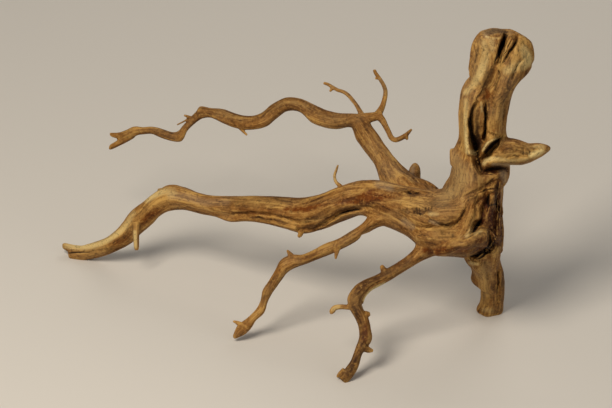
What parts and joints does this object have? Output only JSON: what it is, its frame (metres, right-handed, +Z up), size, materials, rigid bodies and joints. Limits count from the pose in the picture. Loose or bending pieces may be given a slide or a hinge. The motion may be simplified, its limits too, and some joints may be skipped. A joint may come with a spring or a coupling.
{
  "type": "driftwood stump",
  "caption": "Weathered driftwood stump: an upright split trunk over a knotty body, with long bent roots and twigs, standing on its foot and root tips.",
  "frame": {"origin": "middle of the broken foot under the trunk, on the flat surface that the stump stands on", "axes": "+Z up, square to the surface it stands on; -X along the two long limbs, towards the tip of the long root; -Y towards the side that the front root reaches to"},
  "size_m": [0.4895, 0.3078, 0.3313],
  "materials": {
    "wood": "dry, unvarnished, weathered driftwood: greyish tan on top, golden brown below, dark brown in the splits"
  },
  "bodies": {
    "root": {"driftwood_stump": "wood"}
  },
  "joints": []
}
